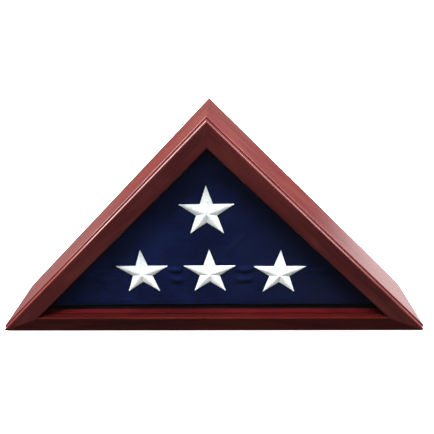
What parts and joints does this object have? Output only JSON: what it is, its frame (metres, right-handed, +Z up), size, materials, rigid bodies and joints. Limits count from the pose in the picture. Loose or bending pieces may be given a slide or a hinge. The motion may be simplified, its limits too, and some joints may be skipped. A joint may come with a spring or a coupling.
{
  "type": "folded flag display case",
  "caption": "Triangular wooden display case with a glazed front and a lift-out back, holding a folded flag with white stars.",
  "frame": {"origin": "middle of the base, on the surface it stands on, half way through the whole depth", "axes": "+Z up, X along the long bottom side, the glazed front looks along -Y and the back panel comes off along +Y"},
  "size_m": [0.6596, 0.1238, 0.3298],
  "materials": {
    "mahogany": "gloss lacquer over dark red-brown stain",
    "key_wood": "bare",
    "fibreboard": "dark hardboard, smooth side out",
    "felt": "black felt",
    "flag_cloth": "navy cotton bunting",
    "star_thread": "satin stitch in white thread",
    "glass": "clear polished",
    "brass": "stamped, lightly tarnished",
    "steel": "zinc plated"
  },
  "bodies": {
    "case": {"face_frame_bottom": "mahogany", "box_rail_bottom": "mahogany", "glazing_bead_bottom": "mahogany", "button_screw_bottom_1": "steel", "button_screw_bottom_2": "steel", "bead_brad_bottom_1": "steel", "bead_brad_bottom_2": "steel", "face_frame_right": "mahogany", "box_rail_right": "mahogany", "glazing_bead_right": "mahogany", "button_screw_right_1": "steel", "button_screw_right_2": "steel", "bead_brad_right_1": "steel", "bead_brad_right_2": "steel", "face_frame_left": "mahogany", "box_rail_left": "mahogany", "glazing_bead_left": "mahogany", "button_screw_left_1": "steel", "button_screw_left_2": "steel", "bead_brad_left_1": "steel", "bead_brad_left_2": "steel", "mitre_key_top": "key_wood", "mitre_key_left": "key_wood", "mitre_key_right": "key_wood", "glass_pane": "glass", "folded_flag": "flag_cloth", "star_top": "star_thread", "star_left": "star_thread", "star_middle": "star_thread", "star_right": "star_thread"},
    "back_panel": {"back_panel": "fibreboard", "felt_lining": "felt"},
    "turn_button_bottom_1": {"turn_button_bottom_1": "brass"},
    "turn_button_bottom_2": {"turn_button_bottom_2": "brass"},
    "turn_button_right_1": {"turn_button_right_1": "brass"},
    "turn_button_right_2": {"turn_button_right_2": "brass"},
    "turn_button_left_1": {"turn_button_left_1": "brass"},
    "turn_button_left_2": {"turn_button_left_2": "brass"}
  },
  "joints": [
    {"name": "back_panel_lift", "type": "slide", "parent": "case", "child": "back_panel", "axis": [0, 1, 0], "range_m": [0, 0.15]},
    {"name": "turn_button_bottom_1_pivot", "type": "hinge", "parent": "case", "child": "turn_button_bottom_1", "pos_m": [-0.17, 0.0591, 0.0055], "axis": [0, -1, 0], "range_deg": [0, 90]},
    {"name": "turn_button_bottom_2_pivot", "type": "hinge", "parent": "case", "child": "turn_button_bottom_2", "pos_m": [0.17, 0.0591, 0.0055], "axis": [0, 1, 0], "range_deg": [0, 90]},
    {"name": "turn_button_right_1_pivot", "type": "hinge", "parent": "case", "child": "turn_button_right_1", "pos_m": [0.23889, 0.0591, 0.08333], "axis": [0, -1, 0], "range_deg": [0, 90]},
    {"name": "turn_button_right_2_pivot", "type": "hinge", "parent": "case", "child": "turn_button_right_2", "pos_m": [0.07626, 0.0591, 0.24596], "axis": [0, 1, 0], "range_deg": [0, 90]},
    {"name": "turn_button_left_1_pivot", "type": "hinge", "parent": "case", "child": "turn_button_left_1", "pos_m": [-0.07626, 0.0591, 0.24596], "axis": [0, -1, 0], "range_deg": [0, 90]},
    {"name": "turn_button_left_2_pivot", "type": "hinge", "parent": "case", "child": "turn_button_left_2", "pos_m": [-0.23889, 0.0591, 0.08333], "axis": [0, 1, 0], "range_deg": [0, 90]}
  ]
}
